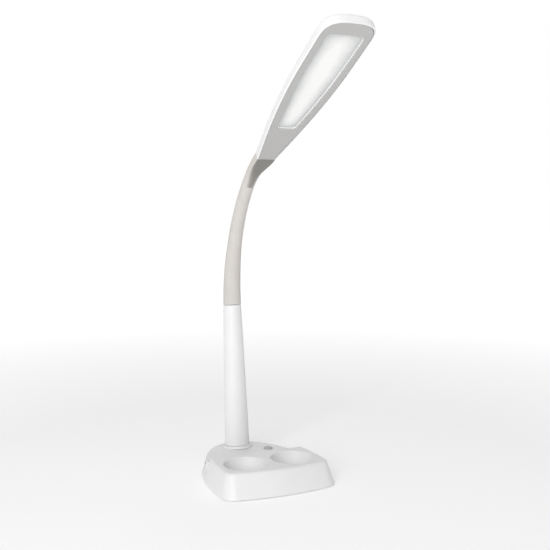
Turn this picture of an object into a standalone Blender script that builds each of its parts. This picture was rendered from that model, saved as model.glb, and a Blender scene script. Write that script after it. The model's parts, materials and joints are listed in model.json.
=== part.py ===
"""LED desk lamp with an organiser base: two cups, a tablet slot, a USB port and a gooseneck.

Run with: blender --background --python part.py
Lengths below are in millimetres and are turned into metres when a mesh is made.
X is left to right, -Y is the front, +Z is up. The origin is on the table, under the base's middle.
"""
import math

import bmesh
import bpy
from mathutils import Matrix, Vector

MM = 0.001
GAP = 0.3                      # clearance kept between pieces that touch
ROUND = 16                     # facets round a turned piece
OBJECT_NAME = "organizer_desk_lamp"

# Base
BASE_WIDTH = 181.0
BASE_DEPTH = 222.0
BASE_HEIGHT = 35.0             # top of the front block
DECK_HEIGHT = 24.0             # top of the rear deck
SLOT_FLOOR = 12.0
WALL = 2.4
SIDE_LEAN = 10.0               # how far the side and rear walls lean in over the block's height
FRONT_LEAN = 15.0
TOP_ROUNDING = 3.0
FRONT_BOW = 11.0               # how far the front bulges between its corners
CORNER_RADIUS = 24.0
WIDEST_Y = -55.0               # the rear of the footprint is half an ellipse from here
PAD_THICK = 1.5
PLATE_THICK = 2.4
SKIRT = 0.8                    # the cover's lower edge stands this far off the table
PLATE_TOP = PAD_THICK + PLATE_THICK

FRONT_Y = -BASE_DEPTH / 2
REAR_Y = BASE_DEPTH / 2
HALF_WIDTH = BASE_WIDTH / 2

SLOT_FRONT_Y = -4.0            # rear face of the block, which the tablet's foot stands against
SLOT_WIDTH = 14.0
TABLET_LEAN = math.radians(30)

CUP_X = 38.0
CUP_Y = -51.0
CUP_HALF_LENGTH = 33.0
CUP_HALF_WIDTH = 34.0
CUP_DEPTH = 22.0
CUP_TAPER = 0.86               # size at the cup's floor against its mouth
CUP_WALL = 2.0

SCREW_SPOTS = ((0.0, -84.0), (70.0, -15.0), (-70.0, -15.0), (44.0, 63.0), (-44.0, 63.0))
BOSS_RADIUS = 4.0
PILOT_RADIUS = 1.4

BALLAST_SIZE = (122.0, 84.0, 5.0)
BALLAST_Y = -34.0

BOARD_SIZE = (110.0, 24.0, 1.6)
BOARD_CENTRE = (-9.0, 37.0)
BOARD_TOP = 10.6

USB_Y = 33.0
USB_FACE_X = -69.5
USB_OUTER = (14.0, 13.2, 6.2)  # length, width, height of the port's shell
USB_SHELL_WALL = 0.4

JACK_SIZE = (9.0, 12.0, 9.5)
JACK_FACE_Y = 103.6
JACK_Z = 11.5
JACK_BORE = 3.15
JACK_DEPTH = 9.0

BUTTON_SPOT = (40.0, 44.0)
BUTTON_RADIUS = 7.0
BUTTON_PROUD = 1.6
BUTTON_TRAVEL = 1.2
SWITCH_HEIGHT = 3.4

# Stem
STEM_LEAN = math.radians(-5)   # negative leans back
STEM_TOP = Vector((0.0, 98.0, 253.0))
STEM_LENGTH = 227.0
STEM_FOOT_RADIUS = 20.0
STEM_TOP_RADIUS = 14.7
STEM_WALL = 2.2
TUBE_RADIUS = 8.0
TUBE_BORE = 5.6

# Gooseneck: a chain of rigid links along an arc
NECK_BEND = math.radians(0.232)   # turn per millimetre of the centreline
NECK_LENGTH = 213.0
HINGES = 7
FIRST_HINGE = 15.0
HINGE_PITCH = 30.0
HINGE_LIMIT = math.radians(27)    # bend away from straight that each hinge allows
NECK_RADII = ((0.0, 14.7), (60.0, 13.2), (108.0, 11.4), (160.0, 10.3), (213.0, 9.9))
CORE_RADII = ((0.0, 4.6), (213.0, 3.8))
BALL_SHARE = 0.88                 # ball radius against the link's own radius
BALL_GAP = 0.55
MOUTH_FLARE = 0.33                # widens each ball's mouth so that the core inside can swing
CORE_BALL_GAP = 0.35
LEAD_BORE = 1.5

# Head, in its own frame: -Y runs out along the head, +Z is its upper side
HEAD_ORIGIN = Vector((0.0, -9.0, 462.5))
HEAD_RISE = math.radians(29)
HEAD_START = 36.0
HEAD_END = 329.0
HEAD_THICK = 16.0
HEAD_ROOT_HALF = 15.0
HEAD_MAX_HALF = 37.0
HEAD_WIDEST = 250.0
HEAD_WALL = 1.8
HEAD_TIP = 34.0                   # length of the rounded far end
HEAD_TIP_POWER = 3.2              # superellipse exponents: the far end in plan and in profile,
HEAD_NOSE_POWER = 4.5             # then the upper and lower halves of the section
HEAD_CROWN = 3.0
HEAD_FLAT = 12.0
SECTION_POINTS = 24
BEZEL_LOW = 0.4
BEZEL_THICK = 2.6
BEZEL_MARGIN = HEAD_WALL + GAP + 0.4
LENS_START = 112.0
LENS_END = 306.0
LENS_MARGIN = 13.0                # from the head's side to the opening at its near end
LENS_MARGIN_FAR = 10.5            # and at its far end
LENS_CORNER_NEAR = 4.0
LENS_CORNER_FAR = 9.0
LENS_THICK = 1.8
LED_BOARD_LOW = 10.4
LED_BOARD_THICK = 1.2
COLLAR_WAIST = 0.16               # how far the collar's underside draws in half way along

WHITE = (0.90, 0.90, 0.91)
TAUPE = (0.66, 0.60, 0.55)
GREY = (0.62, 0.61, 0.60)
STEEL = (0.55, 0.55, 0.56)
BLACK = (0.03, 0.03, 0.03)

parts = None
cutters = None


# ---------------------------------------------------------------- helpers

def clear_scene():
    for obj in list(bpy.data.objects):
        bpy.data.objects.remove(obj, do_unlink=True)


def new_collection(name):
    made = bpy.data.collections.new(name)
    bpy.context.scene.collection.children.link(made)
    return made


def material(name, colour, roughness, metallic=0.0):
    made = bpy.data.materials.new(name)
    made.use_nodes = True
    shader = made.node_tree.nodes["Principled BSDF"]
    shader.inputs["Base Color"].default_value = (*colour, 1.0)
    shader.inputs["Roughness"].default_value = roughness
    shader.inputs["Metallic"].default_value = metallic
    made.diffuse_color = (*colour, 1.0)
    return made


def add_mesh(name, bm, look=None, smooth=False):
    """Turn a bmesh in millimetres into an object; without a look it is a cutter."""
    bmesh.ops.scale(bm, vec=(MM, MM, MM), verts=bm.verts)
    if bm.faces:
        bmesh.ops.recalc_face_normals(bm, faces=bm.faces)
    mesh = bpy.data.meshes.new(name)
    bm.to_mesh(mesh)
    bm.free()
    for face in mesh.polygons:
        face.use_smooth = smooth
    obj = bpy.data.objects.new(name, mesh)
    if look is None:
        cutters.objects.link(obj)
        obj.hide_render = True
        obj.display_type = "WIRE"
    else:
        parts.objects.link(obj)
        mesh.materials.append(look)
    return obj


def place(obj, frame):
    """Put an object into a frame whose origin is in millimetres."""
    moved = frame.copy()
    moved.translation = frame.translation * MM
    obj.matrix_world = moved
    return obj


def frame_at(point, turn=0.0):
    return Matrix.Translation(Vector(point)) @ Matrix.Rotation(turn, 4, "X")


def cut(obj, cutter, operation="DIFFERENCE"):
    step = obj.modifiers.new(cutter.name, "BOOLEAN")
    step.operation = operation
    step.object = cutter
    step.solver = "EXACT"
    return obj


def box(name, low, high, look=None):
    bm = bmesh.new()
    bmesh.ops.create_cube(bm, size=1.0)
    size = Vector(high) - Vector(low)
    bmesh.ops.scale(bm, vec=size, verts=bm.verts)
    bmesh.ops.translate(bm, vec=(Vector(low) + Vector(high)) / 2, verts=bm.verts)
    return add_mesh(name, bm, look)


def cone_into(bm, foot, radius_low, radius_high, height, segments=ROUND):
    """Add a closed cone or cylinder that stands on a foot point."""
    made = bmesh.ops.create_cone(
        bm, cap_ends=True, segments=segments, radius1=radius_low, radius2=radius_high, depth=height)
    bmesh.ops.translate(bm, vec=Vector(foot) + Vector((0, 0, height / 2)), verts=made["verts"])
    return made["verts"]


def cylinders(name, feet, radius, height, look=None, segments=ROUND, turn=None):
    """One node of equal upright cylinders, one for each foot point."""
    bm = bmesh.new()
    for foot in feet:
        verts = cone_into(bm, foot, radius, radius, height, segments)
        if turn is not None:
            bmesh.ops.rotate(bm, cent=foot, matrix=turn, verts=verts)
    return add_mesh(name, bm, look, smooth=True)


def turned(name, profile, look=None, segments=ROUND, closed=True):
    """Turn a profile of (radius, height) points about Z; a closed one makes a hollow piece."""
    bm = bmesh.new()
    verts = [bm.verts.new((radius, 0.0, height)) for radius, height in profile]
    for first, second in zip(verts, verts[1:]):
        bm.edges.new((first, second))
    if closed:
        bm.edges.new((verts[-1], verts[0]))
    obj = add_mesh(name, bm, look)
    screw = obj.modifiers.new("Turn", "SCREW")
    screw.axis = "Z"
    screw.angle = math.tau
    screw.steps = segments
    screw.render_steps = segments
    screw.use_merge_vertices = True
    screw.merge_threshold = 0.00001
    screw.use_smooth_shade = True
    return obj


def loft(name, rings, look=None, smooth=False):
    """Skin a closed solid over rings that all have the same number of points."""
    bm = bmesh.new()
    rows = [[bm.verts.new(point) for point in ring] for ring in rings]
    count = len(rows[0])
    for low, high in zip(rows, rows[1:]):
        for index in range(count):
            after = (index + 1) % count
            bm.faces.new((low[index], low[after], high[after], high[index]))
    bm.faces.new(rows[0])
    bm.faces.new(rows[-1])
    return add_mesh(name, bm, look, smooth)


def mirrored(right_half):
    """Close a ring from its right half, which starts and ends on the middle plane."""
    left_half = [(-x, y, z) for x, y, z in reversed(right_half[1:-1])]
    return right_half + left_half


def step_along(table, where):
    """Straight-line reading of a short (place, value) table."""
    for (low, value_low), (high, value_high) in zip(table, table[1:]):
        if where <= high:
            return value_low + (value_high - value_low) * (where - low) / (high - low)
    return table[-1][1]


# ---------------------------------------------------------------- base

def base_ring(inset, z, rounding=0.0):
    """The footprint at a height: bowed front, round corners, straight sides, elliptical rear."""
    side_inset = inset + rounding + SIDE_LEAN * z / BASE_HEIGHT
    front = FRONT_Y + inset + rounding + FRONT_LEAN * z / BASE_HEIGHT
    half = HALF_WIDTH - side_inset
    rear = REAR_Y - side_inset
    radius = max(CORNER_RADIUS - side_inset, 8.0)
    corner_turn = math.pi / 2 - math.atan(2 * FRONT_BOW / half)
    corner_x = half - radius * (1 - math.cos(corner_turn))
    corner_y = front + FRONT_BOW * (corner_x / half) ** 2 + radius * math.sin(corner_turn)

    ring = []
    front_steps, corner_steps, rear_steps = 4, 5, 10
    for step in range(front_steps):
        x = corner_x * step / front_steps
        ring.append((x, front + FRONT_BOW * (x / half) ** 2, z))
    for step in range(corner_steps + 1):
        angle = -corner_turn * (1 - step / corner_steps)
        ring.append((half - radius + radius * math.cos(angle), corner_y + radius * math.sin(angle), z))
    for step in range(rear_steps + 1):
        angle = math.pi / 2 * step / rear_steps
        x = half * math.cos(angle) if step < rear_steps else 0.0
        ring.append((x, WIDEST_Y + (rear - WIDEST_Y) * math.sin(angle), z))
    return mirrored(ring)


def base_rings(inset, low, high):
    """Rings of the base's outside, or of its inside when inset by the wall."""
    shoulder = high - TOP_ROUNDING
    return [
        base_ring(inset, low),
        base_ring(inset, shoulder),
        base_ring(inset, high - TOP_ROUNDING * 0.3, TOP_ROUNDING * 0.3),
        base_ring(inset, high, TOP_ROUNDING),
    ]


def rear_space(name, grow):
    """Everything above the slot and the rear deck, grown by a wall when it shapes the inside."""
    slope = math.tan(TABLET_LEAN)
    deck = DECK_HEIGHT - grow
    floor = SLOT_FLOOR - grow
    front = SLOT_FRONT_Y - grow
    rear_foot = SLOT_FRONT_Y + SLOT_WIDTH + grow / 2
    outline = (
        (front, 60.0), (front, floor), (rear_foot, floor),
        (rear_foot + (deck - floor) * slope, deck), (REAR_Y + 20.0, deck), (REAR_Y + 20.0, 60.0),
    )
    reach = HALF_WIDTH + 20.0
    rings = [[(x, y, z) for y, z in outline] for x in (-reach, reach)]
    return loft(name, rings)


def cup_cutter(name, side, grow):
    """A tapered oval pocket under the block's top face."""
    depth = CUP_DEPTH + grow
    rise = 12.0                     # how far the cutter stands above the block's top
    growth = (1.0 - CUP_TAPER) / CUP_DEPTH
    low_scale = CUP_TAPER - growth * grow
    high_scale = 1.0 + growth * rise
    bm = bmesh.new()
    verts = cone_into(bm, (0, 0, -depth), low_scale, high_scale, depth + rise, segments=28)
    bmesh.ops.scale(bm, vec=(CUP_HALF_LENGTH + grow, CUP_HALF_WIDTH + grow, 1.0), verts=verts)
    bmesh.ops.translate(bm, vec=(side * CUP_X, CUP_Y, BASE_HEIGHT), verts=verts)
    return add_mesh(name, bm)


def base_inside():
    """The hollow under the cover: the inner shape less the cups, slot, bosses and port blocks."""
    inside = loft("inside_cutter", base_rings(WALL, -1.0, BASE_HEIGHT - WALL))
    cut(inside, rear_space("inside_rear_cutter", WALL))
    for side in (-1, 1):
        cut(inside, cup_cutter(f"inside_cup_cutter_{side + 1}", side, CUP_WALL))
    boss_foot = PLATE_TOP + GAP
    feet = [(x, y, boss_foot) for x, y in SCREW_SPOTS]
    cut(inside, cylinders("boss_cutter", feet, BOSS_RADIUS, 40.0, segments=12))
    cut(inside, box("usb_block_cutter", (-85.0, USB_Y - 11.0, boss_foot), (-66.0, USB_Y + 11.0, 30.0)))
    cut(inside, box("jack_block_cutter", (-9.0, JACK_FACE_Y - 4.0, boss_foot), (9.0, 120.0, 30.0)))
    return inside


def make_base_cover(look, stem):
    cover = loft("base_cover", base_rings(0.0, SKIRT, BASE_HEIGHT), look)
    cut(cover, rear_space("rear_cutter", 0.0))
    boss = cylinders("stem_boss_cutter", [(0, 0, -4.2)], STEM_FOOT_RADIUS + 4.0, 4.2 - GAP, segments=28)
    cut(cover, place(boss, stem), "UNION")
    cut(cover, base_inside())
    for side in (-1, 1):
        cut(cover, cup_cutter(f"cup_cutter_{side + 1}", side, 0.0))
    tube_hole = cylinders("tube_hole_cutter", [(0, 0, -30.0)], TUBE_RADIUS + 0.4, 40.0, segments=ROUND)
    cut(cover, place(tube_hole, stem))
    feet = [(x, y, 0.0) for x, y in SCREW_SPOTS]
    cut(cover, cylinders("pilot_cutter", feet, PILOT_RADIUS, 14.0, segments=8))
    button_foot = [(*BUTTON_SPOT, 10.0)]
    cut(cover, cylinders("button_hole_cutter", button_foot, BUTTON_RADIUS + 0.5, 30.0, segments=20))
    half_width, half_height = USB_OUTER[1] / 2 + GAP, USB_OUTER[2] / 2 + GAP
    usb_z = BOARD_TOP + GAP + USB_OUTER[2] / 2
    cut(cover, box("usb_recess_cutter", (-100.0, USB_Y - 9.0, usb_z - 6.0),
                   (USB_FACE_X, USB_Y + 9.0, usb_z + 6.5)))
    cut(cover, box("usb_hole_cutter", (-100.0, USB_Y - half_width, usb_z - half_height),
                   (-50.0, USB_Y + half_width, usb_z + half_height)))
    cut(cover, box("jack_recess_cutter", (-6.5, JACK_FACE_Y, JACK_Z - 6.5), (6.5, 130.0, JACK_Z + 6.5)))
    half_x, half_z = JACK_SIZE[0] / 2 + GAP, JACK_SIZE[2] / 2 + GAP
    cut(cover, box("jack_hole_cutter", (-half_x, 80.0, JACK_Z - half_z), (half_x, 130.0, JACK_Z + half_z)))
    return cover


def make_base_plate(look):
    rings = [base_ring(WALL + GAP + 0.1, z) for z in (PAD_THICK, PLATE_TOP)]
    plate = loft("base_plate", rings, look)
    feet = [(x, y, 0.0) for x, y in SCREW_SPOTS]
    cut(plate, cylinders("plate_hole_cutter", feet, 1.8, 10.0, segments=10))
    cut(plate, cylinders("plate_sink_cutter", feet, 3.5, PAD_THICK + 1.5, segments=12))
    return plate


def make_base_pad(look):
    rings = [base_ring(6.0, z) for z in (0.0, PAD_THICK - 0.1)]
    return loft("base_pad", rings, look)


def make_base_screws(look):
    """Pan-head screws that hold the plate to the cover's bosses."""
    profile = ((0.0, 10.0), (1.1, 10.0), (1.1, 1.2), (3.0, 1.2), (3.0, 0.0), (0.0, 0.0))
    for index, (x, y) in enumerate(SCREW_SPOTS):
        screw = turned(f"base_screw_{index}", profile, look, segments=10, closed=False)
        place(screw, Matrix.Translation((x, y, PAD_THICK + 0.1)))


def make_ballast(look):
    half_x, half_y = BALLAST_SIZE[0] / 2, BALLAST_SIZE[1] / 2
    low = PLATE_TOP + GAP
    return box("ballast_plate", (-half_x, BALLAST_Y - half_y, low),
               (half_x, BALLAST_Y + half_y, low + BALLAST_SIZE[2]), look)


def make_control_board(look):
    half_x, half_y = BOARD_SIZE[0] / 2, BOARD_SIZE[1] / 2
    low = (BOARD_CENTRE[0] - half_x, BOARD_CENTRE[1] - half_y, BOARD_TOP - BOARD_SIZE[2])
    high = (BOARD_CENTRE[0] + half_x, BOARD_CENTRE[1] + half_y, BOARD_TOP)
    return box("control_board", low, high, look)


def make_board_parts(coil_look, chip_look):
    """Converter coil, capacitor and controller chip that stand on the control board."""
    top = BOARD_TOP + GAP
    cylinders("converter_coil", [(-26.0, 42.0, top)], 4.0, 8.0, coil_look, 12)
    cylinders("filter_capacitor", [(-10.0, 34.0, top)], 3.0, 7.0, chip_look, 12)
    box("controller_chip", (10.0, 36.0, top), (18.0, 44.0, top + 1.6), chip_look)


def make_usb_port(shell_look, tongue_look):
    length, width, height = USB_OUTER
    low_z = BOARD_TOP + GAP
    mouth = USB_FACE_X + 0.4
    shell = box("usb_shell", (mouth, USB_Y - width / 2, low_z),
                (mouth + length, USB_Y + width / 2, low_z + height), shell_look)
    thin = USB_SHELL_WALL
    cut(shell, box("usb_mouth_cutter", (mouth - 1.0, USB_Y - width / 2 + thin, low_z + thin),
                   (mouth + length - thin, USB_Y + width / 2 - thin, low_z + height - thin)))
    tongue_z = low_z + height * 0.62
    box("usb_tongue", (mouth + 1.0, USB_Y - width / 2 + 1.2, tongue_z - 0.9),
        (mouth + length - thin - 0.2, USB_Y + width / 2 - 1.2, tongue_z + 0.9), tongue_look)


def make_dc_jack(body_look, pin_look):
    half_x, length, half_z = JACK_SIZE[0] / 2, JACK_SIZE[1], JACK_SIZE[2] / 2
    mouth = JACK_FACE_Y + 0.6
    jack = box("dc_jack", (-half_x, mouth - length, JACK_Z - half_z), (half_x, mouth, JACK_Z + half_z),
               body_look)
    facing_back = Matrix.Rotation(math.radians(-90), 4, "X")
    bore = cylinders("jack_bore_cutter", [(0, 0, 0)], JACK_BORE, JACK_DEPTH + 5.0)
    place(bore, Matrix.Translation((0, mouth - JACK_DEPTH, JACK_Z)) @ facing_back)
    cut(jack, bore)
    pin = cylinders("dc_jack_pin", [(0, 0, 0)], 1.05, JACK_DEPTH - 1.0, pin_look, segments=10)
    place(pin, Matrix.Translation((0, mouth - JACK_DEPTH + 0.1, JACK_Z)) @ facing_back)


def make_power_button(look):
    """A cap with a flange under the deck and a foot that reaches for the switch."""
    ceiling = DECK_HEIGHT - WALL
    top = DECK_HEIGHT + BUTTON_PROUD
    flange_top = ceiling - 0.4
    foot = BOARD_TOP + GAP + SWITCH_HEIGHT + BUTTON_TRAVEL + 0.2
    profile = (
        (0.0, top), (BUTTON_RADIUS - 1.2, top), (BUTTON_RADIUS, top - 1.0),
        (BUTTON_RADIUS, flange_top), (9.0, flange_top), (9.0, flange_top - 1.4),
        (3.0, flange_top - 1.4), (3.0, foot), (0.0, foot),
    )
    button = turned("power_button", profile, look, segments=20, closed=False)
    return place(button, Matrix.Translation((*BUTTON_SPOT, 0.0)))


def make_button_switch(look):
    x, y = BUTTON_SPOT
    low = BOARD_TOP + GAP
    return box("button_switch", (x - 3.0, y - 3.0, low), (x + 3.0, y + 3.0, low + SWITCH_HEIGHT), look)


# ---------------------------------------------------------------- stem

def stem_frame():
    """Frame on the stem's foot, +Z up the stem."""
    along = Vector((0.0, -math.sin(STEM_LEAN), math.cos(STEM_LEAN)))
    return frame_at(STEM_TOP - along * STEM_LENGTH, STEM_LEAN)


def make_stem(frame, cover_look, steel_look):
    top = STEM_LENGTH - GAP
    profile = (
        (STEM_TOP_RADIUS, top), (STEM_FOOT_RADIUS, 0.0), (STEM_FOOT_RADIUS - STEM_WALL, 0.0),
        (STEM_TOP_RADIUS - STEM_WALL, top - 3.0), (TUBE_RADIUS + GAP, top - 3.0),
        (TUBE_RADIUS + GAP, top),
    )
    place(turned("stem_cover", profile, cover_look, segments=24), frame)
    tube_profile = (
        (TUBE_RADIUS, top), (TUBE_RADIUS, -15.0), (TUBE_BORE, -15.0), (TUBE_BORE, top),
    )
    place(turned("stem_tube", tube_profile, steel_look), frame)
    nut_top = -(STEM_TOP.z - STEM_LENGTH * math.cos(STEM_LEAN) - DECK_HEIGHT + WALL) - 1.6
    nut = cylinders("stem_nut", [(0, 0, nut_top - 5.0)], 13.0, 5.0, steel_look, segments=6)
    bore = cylinders("nut_bore_cutter", [(0, 0, nut_top - 10.0)], TUBE_RADIUS + GAP, 20.0)
    for piece in (nut, bore):
        place(piece, frame)
    cut(nut, bore)


# ---------------------------------------------------------------- gooseneck

def neck_angle(where):
    return STEM_LEAN + NECK_BEND * where


def neck_point(where):
    """Point of the neck's centreline, a given length along its arc from the stem's top."""
    radius = 1.0 / NECK_BEND
    start, here = STEM_LEAN, neck_angle(where)
    forward = radius * (math.cos(start) - math.cos(here))
    upward = radius * (math.sin(here) - math.sin(start))
    return STEM_TOP + Vector((0.0, -forward, upward))


def link_ends():
    """Where each link starts and ends along the neck: the stem's top, the hinges, the head's collar."""
    hinges = [FIRST_HINGE + HINGE_PITCH * index for index in range(HINGES)]
    return [GAP] + hinges + [NECK_LENGTH - GAP]


def link_lean(low, high):
    """Lean of the straight link between two places on the neck."""
    foot, top = neck_point(low), neck_point(high)
    return math.atan2(foot.y - top.y, top.z - foot.z)


def sphere_arc(radius, start, stop, steps, centre=0.0):
    """Points of a circle, as (radius, height); angles run from the equator up."""
    points = []
    for step in range(steps + 1):
        angle = start + (stop - start) * step / steps
        points.append((radius * math.cos(angle), centre + radius * math.sin(angle)))
    return points


def link_profile(foot_radius, top_radius, length, bore, gap, foot_is_socket, top_is_ball, flare):
    """Half section of one link: a socket at its foot, a ball round the next hinge at its top."""
    profile = []
    if top_is_ball:
        ball = top_radius * BALL_SHARE
        shoulder = top_radius * math.sin(HINGE_LIMIT) + gap
        neck = math.sqrt(ball * ball - shoulder * shoulder)
        mouth = math.asin(min(0.9, (bore + flare * 0.5) / ball + MOUTH_FLARE))
        crown = math.pi / 2 - mouth
        profile += reversed(sphere_arc(ball, -math.asin(shoulder / ball), crown, 6, length))
        profile[-1] = (neck, length - shoulder)
        profile.append((top_radius, length - shoulder))
    else:
        profile.append((top_radius, length))
    if foot_is_socket:
        seat = foot_radius * BALL_SHARE + gap
        profile.append((foot_radius, 0.0))
        roof = math.acos(bore / seat)
        profile += sphere_arc(seat, 0.0, roof, 5)
    else:
        profile += [(foot_radius, 0.0), (bore, 0.0)]
    if top_is_ball:
        profile.append((bore, length - flare * 2.0 - 0.5))
        profile.append((bore + flare, length))
    else:
        profile.append((bore, length))
    return profile


def make_neck(core_look, sleeve_look):
    """Links run from hinge to hinge; the first stands on the stem and the last carries the head."""
    ends = link_ends()
    for index, (low, high) in enumerate(zip(ends, ends[1:])):
        first, last = index == 0, index == HINGES
        frame = frame_at(neck_point(low), link_lean(low, high))
        length = (neck_point(high) - neck_point(low)).length
        core_low, core_high = step_along(CORE_RADII, low), step_along(CORE_RADII, high)
        sleeve = link_profile(
            step_along(NECK_RADII, low), step_along(NECK_RADII, high), length,
            core_low + 0.5, BALL_GAP, not first, not last, 0.9)
        place(turned(f"neck_sleeve_{index}", sleeve, sleeve_look), frame)
        core_foot = -12.0 if first else 0.0
        core_length = length + (9.0 if last else 0.0) - core_foot
        core = link_profile(
            core_low, core_high, core_length, LEAD_BORE, CORE_BALL_GAP, not first, not last, 0.5)
        core = [(radius, height + core_foot) for radius, height in core]
        place(turned(f"neck_core_{index}", core, core_look, segments=12), frame)


# ---------------------------------------------------------------- head

def head_frame():
    return frame_at(HEAD_ORIGIN, -HEAD_RISE)


def tip_share(where):
    """How far into the rounded far end a place is, from 0 to 1."""
    return min(1.0, max(0.0, (where - HEAD_END + HEAD_TIP) / HEAD_TIP))


def head_half_width(where):
    """Half width of the head's outside at a distance out along it."""
    share = min(1.0, (where - HEAD_START) / (HEAD_WIDEST - HEAD_START))
    half = HEAD_ROOT_HALF + (HEAD_MAX_HALF - HEAD_ROOT_HALF) * math.sin(share * math.pi / 2)
    return half * (1.0 - tip_share(where) ** HEAD_TIP_POWER) ** (1.0 / HEAD_TIP_POWER)


def section(half_width, low, high, top_power, foot_power, upper=1.0):
    """Ring in the XZ plane: a superellipse whose upper and lower halves have their own power.

    The upper half's height is multiplied by upper.
    """
    middle, half_height = (low + high) / 2, (high - low) / 2
    ring = []
    for index in range(SECTION_POINTS):
        angle = math.tau * (index + 0.5) / SECTION_POINTS
        across, upward = math.cos(angle), math.sin(angle)
        power = 2.0 / (top_power if upward > 0 else foot_power)
        x = math.copysign(abs(across) ** power, across) * half_width
        rise = math.copysign(abs(upward) ** power, upward) * half_height
        z = middle + (rise * upper if rise > 0 else rise)
        ring.append((x, z))
    return ring


def head_stations(near, far):
    """Distances out along the head, closer together round its far end."""
    body_end = HEAD_END - HEAD_TIP
    body = [near + (body_end - near) * step / 9 for step in range(10)]
    tip = [body_end + (far - body_end) * math.sin(math.pi / 2 * step / 6) for step in range(1, 7)]
    return body + tip


def head_loft(name, inset, low, high, look=None, near=HEAD_START, far=HEAD_END - 0.3):
    """A solid along the head: its outline inset all round, flat below and crowned above."""
    rings = []
    for where in head_stations(near, far):
        half = head_half_width(where + inset * tip_share(where)) - inset
        upper = (1.0 - tip_share(where) ** HEAD_NOSE_POWER) ** (1.0 / HEAD_NOSE_POWER)
        ring = section(max(half, 3.0), low, high, HEAD_CROWN, HEAD_FLAT, upper)
        rings.append([(x, -where, z) for x, z in ring])
    return loft(name, rings, look, smooth=True)


def lens_half_width(where, grow):
    """Half width of the light opening, or of a plate that reaches past it by grow."""
    share = (where - LENS_START) / (LENS_END - LENS_START)
    margin = LENS_MARGIN + (LENS_MARGIN_FAR - LENS_MARGIN) * share
    return head_half_width(min(where, HEAD_END - HEAD_TIP)) - margin + grow


def lens_plate(name, grow, low, high, look=None):
    """A flat plate of the light opening's outline, grown on every side."""
    near, far = LENS_START - grow, LENS_END + grow
    right = []
    for corner, end, inward in ((LENS_CORNER_NEAR, near, 1), (LENS_CORNER_FAR, far, -1)):
        turn = []
        for step in range(4):
            angle = math.pi / 2 * step / 3
            where = end + inward * corner * (1 - math.sin(angle))
            turn.append((lens_half_width(where, grow) - corner * (1 - math.cos(angle)), -where))
        if inward < 0:
            sides = [near + LENS_CORNER_NEAR + (far - near - LENS_CORNER_NEAR - corner) * step / 9
                     for step in range(1, 9)]
            right += [(lens_half_width(where, grow), -where) for where in sides]
            right += turn
        else:
            right += reversed(turn)
    outline = right + [(-x, y) for x, y in reversed(right)]
    rings = [[(x, y, z) for x, y in outline] for z in (low, high)]
    return loft(name, rings, look)


def make_head_cover(look, frame):
    cover = head_loft("head_top_cover", 0.0, 0.0, HEAD_THICK, look)
    hollow = head_loft("head_hollow_cutter", HEAD_WALL, -4.0, HEAD_THICK - HEAD_WALL,
                       near=HEAD_START + HEAD_WALL, far=HEAD_END - HEAD_WALL)
    passage = box("head_passage_cutter", (-7.0, -HEAD_START - 6.0, 5.0), (7.0, -HEAD_START + 6.0, 11.5))
    half = head_half_width(HEAD_START) - BEZEL_MARGIN + GAP
    notch = box("head_notch_cutter", (-half, -HEAD_START - HEAD_WALL - 1.0, -1.0),
                (half, -HEAD_START + 1.0, BEZEL_LOW + BEZEL_THICK + GAP))
    for piece in (cover, hollow, passage, notch):
        place(piece, frame)
    cut(cover, hollow)
    cut(cover, notch)
    return cut(cover, passage)


def make_bezel(look, frame):
    far = HEAD_END - HEAD_WALL - 1.0
    bezel = head_loft("head_bezel", BEZEL_MARGIN, BEZEL_LOW, BEZEL_LOW + BEZEL_THICK, look, far=far)
    opening = lens_plate("lens_opening_cutter", 0.0, -3.0, 6.0)
    place(bezel, frame)
    return cut(bezel, place(opening, frame))


def make_light_engine(lens_look, tray_look, board_look, frame):
    """Diffuser, reflector tray, LED board and its chips, stacked above the bezel."""
    lens_low = BEZEL_LOW + BEZEL_THICK + GAP
    lens_high = lens_low + LENS_THICK
    pieces = [lens_plate("diffuser_lens", 2.5, lens_low, lens_high, lens_look)]
    tray = lens_plate("reflector_tray", 2.5, lens_high + GAP, LED_BOARD_LOW - GAP, tray_look)
    well = lens_plate("tray_well_cutter", 0.0, 0.0, 20.0)
    cut(tray, well)
    pieces += [tray, well]
    board = lens_plate("led_board", 1.5, LED_BOARD_LOW, LED_BOARD_LOW + LED_BOARD_THICK, board_look)
    chips = led_chips()
    cut(board, chips, "UNION")
    pieces += [board, chips]
    for piece in pieces:
        place(piece, frame)


def led_chips():
    """Rows of small square chips that are fused to the board's underside."""
    rows, columns, size, depth = 3, 8, 3.0, 0.7
    bm = bmesh.new()
    for column in range(columns):
        where = LENS_START + 16.0 + (LENS_END - LENS_START - 32.0) * column / (columns - 1)
        spread = (head_half_width(where) - LENS_MARGIN) * 0.55
        for row in range(rows):
            made = bmesh.ops.create_cube(bm, size=1.0)
            bmesh.ops.scale(bm, vec=(size, size, depth + 0.4), verts=made["verts"])
            spot = ((row - 1) * spread, -where, LED_BOARD_LOW - depth / 2 + 0.2)
            bmesh.ops.translate(bm, vec=spot, verts=made["verts"])
    return add_mesh("led_chip_cutter", bm)


def make_bracket(look, screw_look, frame):
    """Steel strip that ties the neck's core to the head cover, and its two screws."""
    bracket = box("head_bracket", (-6.0, -HEAD_START - 56.0, 7.0), (6.0, -HEAD_START + 12.0, 9.0), look)
    spots = [(0.0, -HEAD_START - 24.0), (0.0, -HEAD_START - 46.0)]
    holes = cylinders("bracket_hole_cutter", [(x, y, 5.0) for x, y in spots], 1.8, 6.0, segments=10)
    cut(bracket, holes)
    for index, (x, y) in enumerate(spots):
        screw = cylinders(f"bracket_screw_{index}", [(x, y, 4.9)], 1.4, 8.6, screw_look, 8)
        place(screw, frame)
    for piece in (bracket, holes):
        place(piece, frame)


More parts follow.
